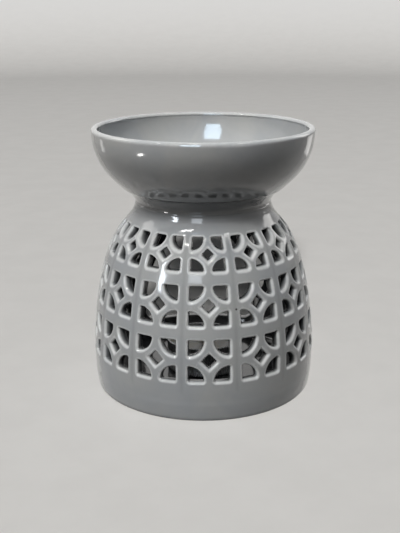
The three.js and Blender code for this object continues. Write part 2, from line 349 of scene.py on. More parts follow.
def tile_cut(angle, radius, height):
    """The small holes: four quarter discs round a diamond in each tile."""
    angle = (angle + math.pi) % (2 * math.pi) - math.pi
    column = np.clip(np.round(angle / TILE_PITCH), -TILE_SIDE_COLUMNS, TILE_SIDE_COLUMNS)
    across = (angle - column * TILE_PITCH) * radius
    wide = TILE_WIDTH * radius
    nearest = np.full(np.shape(across), 1.0)
    for low, high in TILE_ROWS:
        tall = high - low
        x = np.abs(across)
        z = np.abs(height - (low + high) / 2)
        from_side = wide / 2 - x
        from_end = tall / 2 - z
        reach = np.hypot(from_side / wide, from_end / tall) + TINY
        slope = np.hypot(from_side / wide**2, from_end / tall**2) / reach + TINY
        disc = (reach - QUARTER_SHARE) / slope
        quarter = rounded(rounded(-from_side, -from_end, HOLE_CORNER), disc, HOLE_CORNER)
        soft_x = np.hypot(x, HOLE_CORNER / 2)
        soft_z = np.hypot(z, HOLE_CORNER / 2)
        diamond = (soft_x / wide + soft_z / tall - DIAMOND_SHARE) / np.hypot(1 / wide, 1 / tall)
        nearest = np.minimum(nearest, np.minimum(quarter, diamond))
    return nearest


def door_cut(angle, radius, height):
    """The doorway: half an ellipse over straight sides and a sill with round corners."""
    x = np.abs(radius * np.sin(angle))
    y = -radius * np.cos(angle)
    rise = height - DOOR_SPRING
    tall = DOOR_TOP - DOOR_SPRING
    reach = np.hypot(x / DOOR_HALF_WIDTH, rise / tall) + TINY
    slope = np.hypot(x / DOOR_HALF_WIDTH**2, rise / tall**2) / reach + TINY
    arch = (reach - 1) / slope
    out_x = x - (DOOR_HALF_WIDTH - DOOR_CORNER)
    out_z = DOOR_SILL + DOOR_CORNER - height
    corner = np.hypot(np.maximum(out_x, 0), np.maximum(out_z, 0))
    base = corner + np.minimum(np.maximum(out_x, out_z), 0) - DOOR_CORNER
    cut = np.where(rise > 0, arch, base)
    return np.where(y > 0, cut, 1.0)


def cut_distance(angle, radius, height):
    return np.minimum(tile_cut(angle, radius, height), door_cut(angle, radius, height))


def waves(angle, height):
    """How far the surface waves inward there, from nothing to twice the sum of the depths."""
    total = 0
    for around, turns, phase, depth in WAVES:
        total = total + depth * (1 + np.sin(around * angle + 2 * math.pi * turns * height + phase))
    return total


def strap_line(angle, radius, height):
    """One along the middle of the straps between the tile columns, falling to nothing beside them."""
    strap = np.abs((angle / TILE_PITCH) % 1 - 0.5) * TILE_PITCH * radius
    fade = ramp(height - STRAP_FROM, STRAP_FADE_IN) * ramp(STRAP_TO - height, STRAP_FADE_OUT)
    front = np.abs(angle) < (TILE_SIDE_COLUMNS + STRAP_PAST_TILES) * TILE_PITCH
    return np.exp(-(strap / STRAP_GROOVE_WIDTH) ** 2) * fade * front


def wall_distance(angle, along, depth):
    """Signed distance to the pierced wall, below zero in the clay."""
    place = WALL.place(along, depth)
    uncut = -cut_distance(angle, place[..., 0], place[..., 1])
    turned = (angle + math.pi) % (2 * math.pi) - math.pi
    skin = waves(turned, place[..., 1]) + STRAP_GROOVE * strap_line(turned, place[..., 0], place[..., 1])
    outside = rounded(skin - depth, uncut, EDGE_ROUND_OUTSIDE)
    inside = rounded(depth - WALL_THICKNESS, uncut, EDGE_ROUND_INSIDE)
    return np.maximum(outside, inside)


def wall_slope(angle, along, depth):
    """The distance's gradient as lengths round the axis, up the curve and into the wall."""
    step = SLOPE_STEP
    turn = step / WALL.place(along, depth)[..., 0]
    around = wall_distance(angle + turn, along, depth) - wall_distance(angle - turn, along, depth)
    up = wall_distance(angle, along + step, depth) - wall_distance(angle, along - step, depth)
    inward = wall_distance(angle, along, depth + step) - wall_distance(angle, along, depth - step)
    return np.stack([around, up, inward], -1) / (2 * step)


# Meshes

def surface_net(field, axes):
    """A quad mesh of where the field crosses zero, on a grid that closes on itself along its first axis.
    Gives the points in the grid's own coordinates, the quads, and the number of each cell's point."""
    inside = field < 0
    around = [np.append(axes[0], axes[0][0] + 2 * math.pi), axes[1], axes[2]]
    wrapped = np.concatenate([field, field[:1]])
    cells = tuple(n - 1 for n in wrapped.shape)
    total = np.zeros(cells + (3,))
    crossings = np.zeros(cells, int)
    grid = np.meshgrid(*around, indexing="ij")
    for axis in range(3):
        step = [slice(None)] * 3
        step[axis] = slice(0, -1)
        after = [slice(None)] * 3
        after[axis] = slice(1, None)
        a, b = wrapped[tuple(step)], wrapped[tuple(after)]
        crossed = (a < 0) != (b < 0)
        share = np.where(crossed, a / np.where(crossed, a - b, 1), 0)
        points = [g[tuple(step)] + (share * (g[tuple(after)] - g[tuple(step)]) if i == axis else 0)
                  for i, g in enumerate(grid)]
        points = np.stack(points, -1)
        others = [i for i in range(3) if i != axis]
        for p in (0, 1):
            for q in (0, 1):
                part = [slice(None)] * 3
                for other, shift in zip(others, (p, q)):
                    part[other] = slice(shift, cells[other] + shift)
                total += points[tuple(part)] * crossed[tuple(part)][..., None]
                crossings += crossed[tuple(part)]
    active = crossings > 0
    number = np.full(cells, -1)
    number[active] = np.arange(active.sum())
    vertices = total[active] / crossings[active][:, None]
    quads = []
    for axis in range(3):
        a = np.moveaxis(inside, axis, 0)
        n = np.moveaxis(number, axis, 0)
        if axis == 0:
            change = np.roll(a, -1, 0).astype(int) - a
            change = change[:, 1:-1, 1:-1]
            ring = [n[:, :-1, :-1], n[:, 1:, :-1], n[:, 1:, 1:], n[:, :-1, 1:]]
        else:
            change = a[1:].astype(int) - a[:-1]
            change = change[:, :, 1:-1]
            ring = [np.roll(n, 1, 1)[:, :, :-1], n[:, :, :-1], n[:, :, 1:], np.roll(n, 1, 1)[:, :, 1:]]
        for sign in (1, -1):
            here = change == sign
            corners = np.stack([r[here] for r in ring], -1)
            flip = (sign == 1) == (axis == 1)
            quads.append(corners[:, ::-1] if flip else corners)
    return vertices, np.concatenate(quads), number


def settled(field):
    """The same field without grid faces whose diagonal corners are clay and whose others aren't: the
    weakest such corner turns to clay, because the quads of such a face would share an edge by fours."""
    field = np.concatenate([field, field[:1]])
    for _ in range(SETTLE_ROUNDS):
        changed = 0
        for axis in range(3):
            turned = np.moveaxis(field, axis, 0)
            corners = [turned[:, :-1, :-1], turned[:, 1:, :-1], turned[:, 1:, 1:], turned[:, :-1, 1:]]
            clay = [c < 0 for c in corners]
            crossed = (clay[0] == clay[2]) & (clay[1] == clay[3]) & (clay[0] != clay[1])
            for first in (0, 1):
                a, b = corners[first], corners[first + 2]
                weak = crossed & ~clay[first]
                low = weak & (a <= b)
                high = weak & (a > b)
                changed += int(weak.sum())
                a[low] = BARELY_CLAY
                b[high] = BARELY_CLAY
        field[-1] = np.minimum(field[-1], field[0])
        field[0] = field[-1]
        if not changed:
            break
    return field[:-1]


def ring_points(radius, height, around):
    """Points round the axis, from the front towards the right."""
    angle = np.arange(around) * 2 * math.pi / around
    return np.column_stack([radius * np.sin(angle), -radius * np.cos(angle), np.full(around, height)])


def strips(rings):
    """Quads between neighbouring rings of point numbers."""
    quads = []
    for low, high in zip(rings, rings[1:]):
        quads.append(np.column_stack([low, np.roll(low, -1), np.roll(high, -1), high]))
    return np.concatenate(quads)


def mesh_object(name, points, quads, fans=()):
    """A smooth-shaded object from points, quads and a few faces of other kinds."""
    mesh = bpy.data.meshes.new(name)
    faces = [tuple(q) for q in quads.tolist()] + list(fans)
    mesh.from_pydata(points.tolist(), [], faces)
    mesh.validate()
    mesh.shade_smooth()
    made = bpy.data.objects.new(name, mesh)
    bpy.context.scene.collection.objects.link(made)
    return made


def coordinates(mesh):
    place = np.empty(len(mesh.vertices) * 3, np.float32)
    mesh.vertices.foreach_get("co", place)
    return place.reshape(-1, 3).astype(float)


def turned_places(place):
    """The points' radius, angle from the front, and height."""
    return np.hypot(place[:, 0], place[:, 1]), np.arctan2(place[:, 0], -place[:, 1]), place[:, 2]


def move_points(mesh, place):
    mesh.vertices.foreach_set("co", place.astype(np.float32).ravel())
    mesh.update()


def apply_modifiers(made):
    """Leaves the object with the mesh that its modifiers give."""
    bpy.context.view_layer.update()
    evaluated = made.evaluated_get(bpy.context.evaluated_depsgraph_get())
    mesh = bpy.data.meshes.new_from_object(evaluated)
    made.modifiers.clear()
    made.data = mesh
    mesh.shade_smooth()
    return mesh


def add_attribute(mesh, name, values):
    attribute = mesh.attributes.new(name, "FLOAT", "POINT")
    attribute.data.foreach_set("value", np.asarray(values, np.float32))


def lathe(name, outline, around):
    """A turned solid from a closed outline of (radius, height). Where it meets the axis, it starts and ends
    there."""
    points, rings, poles = [], [], []
    start = 0
    for radius, height in outline:
        if radius < ON_AXIS:
            poles.append(start)
            points.append([[0, 0, height]])
            start += 1
        else:
            points.append(ring_points(radius, height, around))
            rings.append(np.arange(around) + start)
            start += around
    fans = []
    if poles:
        first, last = rings[0], rings[-1]
        fans += [(poles[0], int(b), int(a)) for a, b in zip(first, np.roll(first, -1))]
        fans += [(poles[1], int(a), int(b)) for a, b in zip(last, np.roll(last, -1))]
    else:
        rings.append(rings[0])
    return mesh_object(name, np.concatenate(points), strips(rings), fans)


# Dome

def pierced_wall():
    """The wall between foot and neck, with its holes: points, quads, and its four end rings."""
    low, high = WALL.at_height(WALL_FROM), WALL.at_height(WALL_TO)
    steps = int(round((high - low) / ALONG_STEP))
    angles = (np.arange(AROUND) - 0.5) * 2 * math.pi / AROUND
    along = np.linspace(low, high, steps + 1)
    field = wall_distance(*np.meshgrid(angles, along, np.array(DEPTHS), indexing="ij"))
    net, quads, number = surface_net(settled(field), [angles, along, np.array(DEPTHS)])
    angle, along, depth = net.T
    for _ in range(NEWTON_STEPS):
        slope = wall_slope(angle, along, depth)
        step = wall_distance(angle, along, depth) / np.maximum((slope**2).sum(-1), NEWTON_LEAST_SLOPE)
        radius = WALL.place(along, depth)[:, 0]
        angle = angle - step * slope[:, 0] / radius
        along = along - step * slope[:, 1]
        depth = depth - step * slope[:, 2]
    place = WALL.place(along, depth)
    points = np.column_stack([place[:, 0] * np.sin(angle), -place[:, 0] * np.cos(angle), place[:, 1]])
    ends = [[number[:, 0, 0], number[:, 0, -1]], [number[:, -1, 0], number[:, -1, -1]]]
    return points, quads, ends


def dome():
    """The whole dome: the pierced wall, closed by rings at the foot, the floor and the neck."""
    points, quads, ((foot_out, foot_in), (neck_out, neck_in)) = pierced_wall()
    parts, count = [points], len(points)

    def add_ring(radius, height):
        nonlocal count
        parts.append(ring_points(radius, height, AROUND))
        count += AROUND
        return np.arange(AROUND) + count - AROUND

    def ring_size(ring):
        first = points[ring[0]]
        return math.hypot(first[0], first[1]), first[2]

    # From the wall's outside down round the foot to the middle of the underside
    heights = np.linspace(ring_size(foot_out)[1], WALL_CURVE[0][1], 10)[1:-1]
    down = [WALL.lookup(WALL.points, WALL.at_height(h)) for h in heights]
    foot = bezier(FOOT_CURVE, 9)[::-1]
    under = [(FOOT_FLAT_RADIUS, 0), (FOOT_INNER_RADIUS, 0), (RECESS_RADIUS, RECESS_DEPTH)]
    under += [(RECESS_RADIUS * share, RECESS_DEPTH) for share in UNDER_SHARES]
    rings = [foot_out] + [add_ring(*p) for p in [*down, *foot, *under]]
    quads_foot = strips(rings[::-1])
    middle_under = rings[-1][::-1]

    # From the wall's inside down round the floor's fillet to the middle of the floor
    radius, height = ring_size(foot_in)
    corner = (radius - FLOOR_FILLET, FLOOR_TOP + FLOOR_FILLET)
    fillet = arc(corner, FLOOR_FILLET, 0, -90, 9)
    floor = [(radius * share, FLOOR_TOP) for share in FLOOR_SHARES]
    rings_in = [foot_in] + [add_ring(*p) for p in [*fillet, *floor]]
    quads_floor = strips(rings_in)

    # From the wall's outside up to the neck and back down through the throat
    neck = NECK_CURVE[-1]
    heights = np.linspace(ring_size(neck_out)[1], neck[1], 9)[1:-1]
    up = [WALL.lookup(WALL.points, WALL.at_height(h)) for h in heights]
    throat = [neck, (THROAT_FLAT, neck[1]), (THROAT_RADIUS, neck[1])]
    throat += list(bezier([*THROAT_TURN, ring_size(neck_in)], 6)[:-1])
    rings_up = [neck_out] + [add_ring(*p) for p in [*up, *throat]] + [neck_in]
    quads_neck = strips(rings_up)

    fans = [tuple(middle_under.tolist()), tuple(rings_in[-1].tolist())]
    quads = np.concatenate([quads, quads_foot, quads_floor, quads_neck])
    return mesh_object("glazed_dome", np.concatenate(parts), quads, fans)


def neck_painted_shade(radius, height):
    """Painted shade in the hollow of the neck under the dish, from nothing to one."""
    apart = np.hypot(radius - NECK_HOLLOW[0], height - NECK_HOLLOW[1])
    return np.exp(-(apart / NECK_SHADE_REACH) ** 2)


def finish_dome(made):
    """Fewer faces where the surface is plain, then the wall's exact normals and its glaze."""
    faces = sum(len(p.vertices) - 2 for p in made.data.polygons)
    thin_out = made.modifiers.new("fewer_faces", "DECIMATE")
    thin_out.ratio = min(1.0, BODY_FACES / faces)
    mesh = apply_modifiers(made)
    mesh.name = "glazed_dome"
    radius, angle, height = turned_places(coordinates(mesh))
    along, depth = WALL.locate(radius, height)
    on_wall = (height > WALL_FROM + END_MARGIN) & (height < WALL_TO - END_MARGIN)
    on_wall &= (depth > -DEPTH_MARGIN) & (depth < WALL_THICKNESS + DEPTH_MARGIN)
    slope = wall_slope(angle, along, depth)
    up, inward = WALL.frame(along)
    outward, upward = (slope[:, 1] * up[:, i] + slope[:, 2] * inward[:, i] for i in (0, 1))
    exact = np.column_stack([
        outward * np.sin(angle) + slope[:, 0] * np.cos(angle),
        -outward * np.cos(angle) + slope[:, 0] * np.sin(angle),
        upward,
    ])
    exact /= np.maximum(np.linalg.norm(exact, axis=1, keepdims=True), TINY)
    normals = np.empty(len(radius) * 3, np.float32)
    mesh.vertex_normals.foreach_get("vector", normals)
    normals = normals.reshape(-1, 3)
    normals[on_wall] = exact[on_wall]
    mesh.normals_split_custom_set_from_vertices(normals.tolist())
    from_hole = np.where(on_wall, np.abs(cut_distance(angle, radius, height)), FAR)
    # Painted shade in the neck's hollow under the dish and at the foot where it meets the floor; along the
    # mould lines, glaze pooled thinly in the groove
    pool_and_shade = STRAP_POOL * strap_line(angle, radius, height) * (depth < MM)
    pool_and_shade = np.maximum(pool_and_shade, neck_painted_shade(radius, height))
    pool_and_shade = np.maximum(pool_and_shade, np.exp(-(height / FOOT_CONTACT_SHADE_REACH) ** 2) * (radius > FOOT_INNER_RADIUS))
    # Distance to the nearest edge, for the pale rims: thin glaze partly, painted highlight partly
    add_attribute(mesh, "edge", np.minimum(np.hypot(depth, from_hole), FAR) / MM)
    add_attribute(mesh, "pool_and_shade", pool_and_shade)
    # Painted shade on the inside of the dome's wall, growing with depth through it
    add_attribute(mesh, "hollow", ramp(depth, WALL_THICKNESS) * (height > FLOOR_TOP - CLOSE))


# Dish and slip

def dish():
    """The melt dish, its surface waved and its lip slightly uneven, as a dipped casting's is."""
    outside = np.concatenate([bezier(DISH_FOOT_CURVE, 24)[1:], bezier(DISH_CURVE, 80)[1:]])
    edge = outside[-1]
    lip = arc((edge[0] - LIP_RADIUS, edge[1]), LIP_RADIUS, 0, 180, 25)[1:-1]
    inside = bezier(DISH_INSIDE, 80)
    foot = [(radius, DISH_FOOT_CURVE[0][1]) for radius in DISH_UNDERSIDE] + [DISH_FOOT_CURVE[0]]
    made = lathe("glazed_dish", np.concatenate([foot, outside, lip, inside]), DISH_AROUND)
    mesh = made.data
    place = coordinates(mesh)
    radius, angle, height = turned_places(place.copy())
    inward = waves(angle, height) * ramp(height - DISH_WAVES_FROM, DISH_WAVES_FADE)
    inward *= ramp(radius - DISH_CALM_RADIUS, DISH_CALM_FADE)
    hollow = (radius < np.interp(height, inside[::-1, 1], inside[::-1, 0]) + CLOSE) & (height < edge[1])
    wider = np.where(hollow, DISH_INSIDE_WAVES, -1) * inward / np.maximum(radius, LEAST_RADIUS)
    place[:, :2] *= (1 + wider)[:, None]
    place[:, 2] -= np.where(height > edge[1], inward, 0)
    move_points(mesh, place)
    # The lip's paleness: thin glaze partly, painted highlight partly
    crest = np.hypot(radius - (edge[0] - LIP_RADIUS), height - edge[1] - LIP_RADIUS)
    add_attribute(mesh, "edge", np.clip(crest * LIP_EDGE_SHARE, LIP_EDGE_LEAST, FAR) / MM)
    # The dish's underside by the neck gets the same painted shade
    add_attribute(mesh, "pool_and_shade", neck_painted_shade(radius, height))
    return made


def slip():
    """The ring of slip in the neck, slightly hollow where it shows."""
    low, high = SLIP_CURVE[0][1], SLIP_CURVE[-1][1]
    outline = [(THROAT_RADIUS, low), (THROAT_FLAT, low), *bezier(SLIP_CURVE, 14)]
    outline += [(THROAT_FLAT, high), (THROAT_RADIUS, high)]
    made = lathe("neck_slip", outline, DISH_AROUND)
    radius, _, height = turned_places(coordinates(made.data))
    add_attribute(made.data, "edge", np.full(len(radius), FAR / MM))
    # Painted shade in the neck's hollow under the dish
    add_attribute(made.data, "pool_and_shade", neck_painted_shade(radius, height))
    return made


# Tealight

def foil_cup():
    """Pressed foil: a rolled bead at the mouth, a stepped foot, fine press lines and a few soft dents."""
    base = CUP_BOX[0].z
    radius = CUP_BOX[1].x - CUP_BEAD - BOX_GAP
    top = CUP_BOX[1].z - CUP_BEAD
    inner = radius - CUP_FOIL
    foot = radius - CUP_FOOT_SET_IN
    outline = [(0, CUP_BASE[0][1]), *CUP_BASE, (CUP_FLAT_TO, 0.0)]
    outline += [tuple(p) for p in arc((foot, CUP_FOOT_ROUND), CUP_FOOT_ROUND, -90, 0, 8)]
    outline += [(radius - set_in, rise) for set_in, rise in CUP_WALL] + [(radius, top - base - 0.0006)]
    outline += [tuple(p) for p in arc((radius, top - base), CUP_BEAD, -80, 190, 14)]
    outline += [(inner, top - base - 0.0008)] + [(inner - set_in, rise) for set_in, rise in CUP_WALL[::-1]]
    outline += [tuple(p) for p in arc((foot, CUP_FOOT_SET_IN), CUP_FOOT_INSIDE, 0, -90, 6)]
    outline += [(across, rise + CUP_BASE_FOIL) for across, rise in CUP_BASE[::-1]]
    outline += [(0, CUP_BASE[0][1] + CUP_BASE_FOIL)]
    made = lathe("foil_cup", np.array(outline) + [0, base], CUP_AROUND)
    mesh = made.data
    place = coordinates(mesh)
    radius_here, angle, height = turned_places(place.copy())
    wall = ramp(radius_here - 0.0165, 0.0012) * ramp(top - height, 0.002)
    press = CUP_PRESS_DEPTH * (1 + np.sin(CUP_PRESS_LINES * angle))
    press *= np.clip(1 - ramp(height - base, CUP_PRESS_TALL) * CUP_PRESS_FADE, 0, 1)
    dents = 0
    for where, level, size, depth in CUP_DENTS:
        apart = (angle - where + math.pi) % (2 * math.pi) - math.pi
        across, up = apart * CUP_DENT_RADIUS / size, (height - base - level) / size
        dents = dents + depth * np.exp(-across ** 2 - up ** 2)
    place[:, :2] *= (1 - (press + dents) * wall / np.maximum(radius_here, LEAST_RADIUS))[:, None]
    move_points(mesh, place)
    return made


def poured_wax():
    """Wax that set with a raised edge, a shallow ring and a dip at the wick."""
    low, high = WAX_BOX[0].z, WAX_BOX[1].z
    edge = CUP_BOX[1].x - CUP_BEAD - CUP_FOIL - 2 * BOX_GAP
    bore = WICK_BOX[1].x + 0.0001
    well, ceiling = WAX_WELL[0], low + WAX_WELL[1]
    outline = [(bore, ceiling), (well, ceiling), (well, low), (edge - WAX_FOOT_SET_IN, low)]
    outline += [(edge - 0.0002, low + 0.0016), (edge, low + 0.004), (edge, high - 0.001)]
    outline += [(edge - set_in, high - drop) for set_in, drop in WAX_TOP]
    outline += [(across, high - drop) for across, drop in [*WAX_MIDDLE, (bore, WAX_DIP)]]
    made = lathe("poured_wax", np.array(outline), CUP_AROUND)
    smoother = made.modifiers.new("smoother", "SUBSURF")
    smoother.levels = smoother.render_levels = 1
    mesh = apply_modifiers(made)
    place = coordinates(mesh)
    radius, angle, height = turned_places(place.copy())
    upper = (height > high - 0.0012) & (radius < edge - 0.0002)
    ripple = np.sin(3 * angle + 0.8) * np.sin(radius * 420) + 0.6 * np.sin(7 * angle + radius * 300)
    place[:, 2] -= np.where(upper, WAX_RIPPLE * (1.6 + ripple) * ramp(radius - 0.0015, 0.003), 0)
    move_points(mesh, place)
    return made


def wick_disc():
    """The stamped disc at the foot of the wick, with a rolled rim and a collar pinched in four places."""
    low = DISC_BOX[0].z
    rim = DISC_BOX[1].x
    outline = [(0.0011, 0), (0.0052, 0), (0.0058, 0.00006), (rim - 0.0002, 0), (rim, 0.00012)]
    outline += [(rim, 0.00028), (rim - 0.0002, 0.0004), (0.0062, 0.00034), (0.0054, 0.0003)]
    outline += [(0.0028, 0.0003), (0.0018, 0.0005), (0.0016, 0.001), (0.0015, 0.002), (0.0015, 0.0032)]
    outline += [(0.0016, 0.0034), (0.0011, 0.0034), (0.0011, 0.002)]
    made = lathe("wick_disc", np.array(outline) + [0, low], DISC_AROUND)
    mesh = made.data
    place = coordinates(mesh)
    radius, angle, height = turned_places(place.copy())
    pinch = ramp(height - low - 0.0008, 0.0008) * ramp(radius - 0.0012, 0.0003)
    place[:, :2] *= (1 - DISC_PINCH * pinch * (0.5 - 0.5 * np.cos(4 * angle)))[:, None]
    move_points(mesh, place)
    return made


def braided_wick():
    """Three strands that wind round each other, waxed together and cut off at a slant."""
    low, high = WICK_BOX[0].z, WICK_BOX[1].z
    reach = WICK_BOX[1].x * 0.97
    levels = np.linspace(low, high, WICK_LEVELS)
    rings = []
    angle = np.arange(WICK_AROUND) * 2 * math.pi / WICK_AROUND
    for level in levels:
        twist = 2 * math.pi * (level - low) / WICK_LAY
        lobes = np.abs(np.cos(1.5 * (angle - twist)))
        counter = np.abs(np.cos(1.5 * (angle + twist)))
        radius = reach * (0.70 + 0.18 * lobes ** 0.7 + 0.12 * counter ** 0.7)
        radius = radius * (0.55 + 0.45 * math.sqrt(ramp(high - level, 0.0007)))
        tilt = WICK_SLANT * ramp(level - high + 0.0012, 0.0012) * (1 + np.sin(angle)) / 2
        rings.append(np.column_stack([radius * np.sin(angle), -radius * np.cos(angle), level - tilt]))
    numbers = [np.arange(WICK_AROUND) + i * WICK_AROUND for i in range(WICK_LEVELS)]
    ends = [tuple(numbers[0][::-1].tolist()), tuple(numbers[-1].tolist())]
    return mesh_object("braided_wick", np.concatenate(rings), strips(numbers), ends)


# Materials

class Nodes:
    """A material whose constants stand on its Principled shader, and the nodes that vary it."""

    def __init__(self, name, **constants):
        self.material = bpy.data.materials.new(name)
        self.material.use_nodes = True
        self.tree = self.material.node_tree
        self.shader = self.tree.nodes["Principled BSDF"]
        for socket, value in constants.items():
            self.shader.inputs[socket.replace("_", " ")].default_value = value
        self.place = self.add("TexCoord").outputs["Object"]

    def add(self, kind, values=(), **properties):
        """A node of this kind, its sockets linked or set, and its properties set."""
        node = self.tree.nodes.new("ShaderNode" + kind)
        for name, value in properties.items():
            setattr(node, name, value)
        for socket, value in dict(values).items():
            if isinstance(value, bpy.types.NodeSocket):
                self.tree.links.new(value, node.inputs[socket])
            else:
                node.inputs[socket].default_value = value
        return node

    def drive(self, socket, value):
        self.tree.links.new(value, self.shader.inputs[socket])

    def noise(self, scale, detail=2.0, roughness=0.5, distortion=0.0, place=None):
        values = {"Vector": place or self.place, "Scale": scale, "Detail": detail, "Roughness": roughness,
                  "Distortion": distortion}
        return self.add("TexNoise", values).outputs["Fac"]

    def attribute(self, name):
        return self.add("Attribute", attribute_name=name).outputs["Fac"]

    def math(self, operation, a, b):
        return self.add("Math", {0: a, 1: b}, operation=operation).outputs[0]

    def span(self, value, low, high, to_low=0.0, to_high=1.0, smooth=True):
        kind = "SMOOTHSTEP" if smooth else "LINEAR"
        values = {"Value": value, "From Min": low, "From Max": high, "To Min": to_low, "To Max": to_high}
        return self.add("MapRange", values, interpolation_type=kind).outputs["Result"]

    def blend(self, share, a, b):
        """Colour a to colour b. A Mix node has its colours in sockets 6 and 7."""
        return self.add("Mix", {0: share, 6: a, 7: b}, data_type="RGBA").outputs[2]

    def bump(self, height, distance, under=None):
        values = {"Height": height, "Distance": distance, "Strength": 1.0}
        if under:
            values["Normal"] = under
        return self.add("Bump", values).outputs["Normal"]


def glaze():
    """Mid-grey glaze: pale thin edges with painted highlight, painted shade at neck, foot and inside,
    darker where it pools, pinholes, slow waves.
    """
    m = Nodes("glaze", IOR=1.52, Coat_Weight=0.7, Coat_Roughness=0.03, Coat_IOR=1.5)
    clouds = m.noise(GLAZE_CLOUDS, 4, 0.6, 0.6)
    colour = m.blend(m.span(clouds, 0.3, 0.7), GLAZE_COOL, GLAZE_WARM)
    colour = m.blend(m.span(m.noise(GLAZE_DRIFT), 0.35, 0.65, 0.0, 0.18), colour, GLAZE_DEEP)
    # Painted shade in the neck's hollow and at the foot, and glaze pooled thinly along the mould lines
    colour = m.blend(m.math("MULTIPLY", m.attribute("pool_and_shade"), 0.9), colour, GLAZE_POOLED_AND_SHADE)
    # Pale rims at edges: thin glaze partly, painted highlight partly
    ragged = m.math("ADD", m.attribute("edge"), m.span(m.noise(900), 0.2, 0.8, -0.12, 0.12, False))
    thin_and_highlight = m.span(ragged, THIN_AND_HIGHLIGHT_FROM, THIN_AND_HIGHLIGHT_TO, 1.0, 0.0)
    thin_and_highlight = m.math("MULTIPLY", thin_and_highlight, m.span(clouds, 0.3, 0.65, 0.72, 1.0))
    # Painted shade on the inside of the dome
    colour = m.blend(m.span(m.attribute("hollow"), 0.15, 0.75, 0.0, 0.93), colour, GLAZE_INSIDE_SHADE)
    colour = m.blend(m.math("MULTIPLY", thin_and_highlight, 0.86), colour, GLAZE_THIN_AND_HIGHLIGHT)
    grain = m.noise(GLAZE_GRAIN, 2, 0.6)
    colour = m.blend(m.span(grain, 0.60, 0.75, 0.0, 0.10), colour, GLAZE_DEEP)
    cells = m.add("TexVoronoi", {"Vector": m.place, "Scale": PINHOLE_CELLS}, feature="F1").outputs
    rare = m.span(m.noise(70, 1), 0.765, 0.775)
    hole = m.math("MULTIPLY", m.span(cells["Distance"], 0.045, 0.075, 1.0, 0.0), rare)
    apart = m.add("VectorMath", {0: m.place, 1: PINHOLE_PLACE}, operation="DISTANCE").outputs["Value"]
    hole = m.math("MAXIMUM", hole, m.span(apart, 0.0004, 0.0006, 1.0, 0.0))
    colour = m.blend(hole, colour, GLAZE_PINHOLE)
    m.drive("Base Color", colour)
    m.drive("Roughness", m.span(m.noise(120, 3, 0.6), 0.3, 0.7, 0.08, 0.17, False))
    skin = None
    for scale, depth in GLAZE_SKIN:
        skin = m.bump(m.noise(scale), depth, skin)
    skin = m.bump(m.math("SUBTRACT", 1.0, hole), PINHOLE_DEPTH, skin)
    m.drive("Normal", skin)
    m.tree.links.new(skin, m.shader.inputs["Coat Normal"])
    return m.material


def bare_clay():
    """The wiped, unglazed foot: pale biscuit with a fine tooth and a few iron specks."""
    m = Nodes("bare_clay", IOR=1.45)
    colour = m.blend(m.span(m.noise(180, 4, 0.6), 0.3, 0.7), CLAY_DARK, CLAY_PALE)
    m.drive("Base Color", m.blend(m.span(m.noise(2200), 0.70, 0.76), colour, CLAY_SPECK))
    m.drive("Roughness", m.span(m.noise(700, 3, 0.6), 0.3, 0.7, 0.72, 0.9, False))
    m.drive("Normal", m.bump(m.noise(3600, 4, 0.65), 0.00006))
    return m.material


def foil():
    """Rolled aluminium: drawn lines up the wall, creases and a little tarnish."""
    m = Nodes("pressed_foil", Metallic=1.0)
    stretched = m.add("Mapping", {"Vector": m.place, "Scale": (1, 1, 0.04)}).outputs[0]
    lines = m.noise(2600, 3, 0.6, 0, stretched)
    m.drive("Base Color", m.blend(m.span(m.noise(240, 3, 0.6), 0.35, 0.7), FOIL_BRIGHT, FOIL_DULL))
    m.drive("Roughness", m.span(lines, 0.3, 0.7, 0.2, 0.38, False))
    skin = m.bump(lines, 0.00002)
    m.drive("Normal", m.bump(m.noise(420), 0.00009, skin))
    return m.material


def wax():
    """Paraffin: milky, with a mottled set surface and a paler, drier edge."""
    m = Nodes("paraffin", IOR=1.44, Subsurface_Weight=0.35, Subsurface_Scale=0.004,
              Subsurface_Radius=(1.0, 0.8, 0.55))
    mottle = m.noise(480, 3, 0.55, 0.6)
    colour = m.blend(m.span(mottle, 0.35, 0.7), WAX_CREAM, WAX_PALE)
    m.drive("Base Color", m.blend(m.span(m.noise(90), 0.4, 0.7, 0, 0.5), colour, WAX_YELLOW))
    m.drive("Roughness", m.span(m.noise(260, 3, 0.6), 0.3, 0.7, 0.30, 0.5, False))
    m.drive("Normal", m.bump(mottle, 0.00005))
    return m.material


def tinned_steel():
    """Tinned sheet steel, slightly clouded."""
    m = Nodes("tinned_steel", Metallic=1.0)
    cloud = m.noise(700, 3, 0.6)
    m.drive("Base Color", m.blend(m.span(cloud, 0.35, 0.65), TIN_BRIGHT, TIN_DULL))
    m.drive("Roughness", m.span(cloud, 0.3, 0.7, 0.26, 0.44, False))
    m.drive("Normal", m.bump(m.noise(2400), 0.00001))
    return m.material


def cotton():
    """Waxed cotton: yarns along each strand, and stray paler fibres."""
    m = Nodes("waxed_cotton", IOR=1.45, Sheen_Weight=0.25, Sheen_Roughness=0.4)
    twist = {"Vector": m.place, "Rotation": (0.35, 0.5, 0), "Scale": (1, 1, 0.25)}
    yarn = m.noise(5200, 3, 0.6, 0, m.add("Mapping", twist).outputs[0])
    m.drive("Base Color", m.blend(m.span(yarn, 0.35, 0.68), COTTON_DARK, COTTON_PALE))
    m.drive("Roughness", m.span(yarn, 0.3, 0.7, 0.85, 0.6, False))
    m.drive("Normal", m.bump(yarn, 0.00008))
    return m.material


